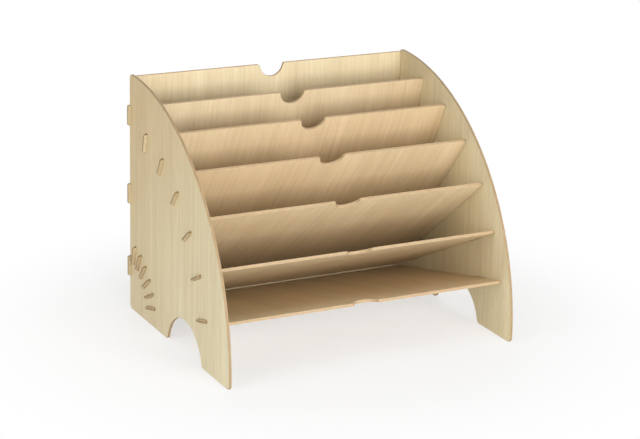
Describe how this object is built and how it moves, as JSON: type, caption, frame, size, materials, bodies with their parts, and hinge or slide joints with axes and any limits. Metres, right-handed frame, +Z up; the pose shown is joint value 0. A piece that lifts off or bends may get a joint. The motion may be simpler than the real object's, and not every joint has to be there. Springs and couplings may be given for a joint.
{
  "type": "document sorter",
  "caption": "Desktop document sorter: a fan of sloping wooden boards with finger notches, tabbed into quarter-round side panels with arched feet and an upright back.",
  "frame": {"origin": "on the floor, at the middle of the object's box in plan", "axes": "+X to the right across the width, +Y to the rear, +Z up; the sloping boards open towards -Y"},
  "size_m": [0.3364, 0.258, 0.2627],
  "materials": {
    "side_veneer": "pale straight-grained veneer, satin, with browned cut edges",
    "board_veneer": "pale straight-grained veneer, satin, with browned cut edges",
    "back_veneer": "pale straight-grained veneer, satin, with browned cut edges"
  },
  "bodies": {
    "root": {"left_side": "side_veneer", "right_side": "side_veneer", "back_panel": "back_veneer", "divider_1": "board_veneer", "divider_2": "board_veneer", "divider_3": "board_veneer", "divider_4": "board_veneer", "divider_5": "board_veneer", "bottom_shelf": "board_veneer"}
  },
  "joints": []
}
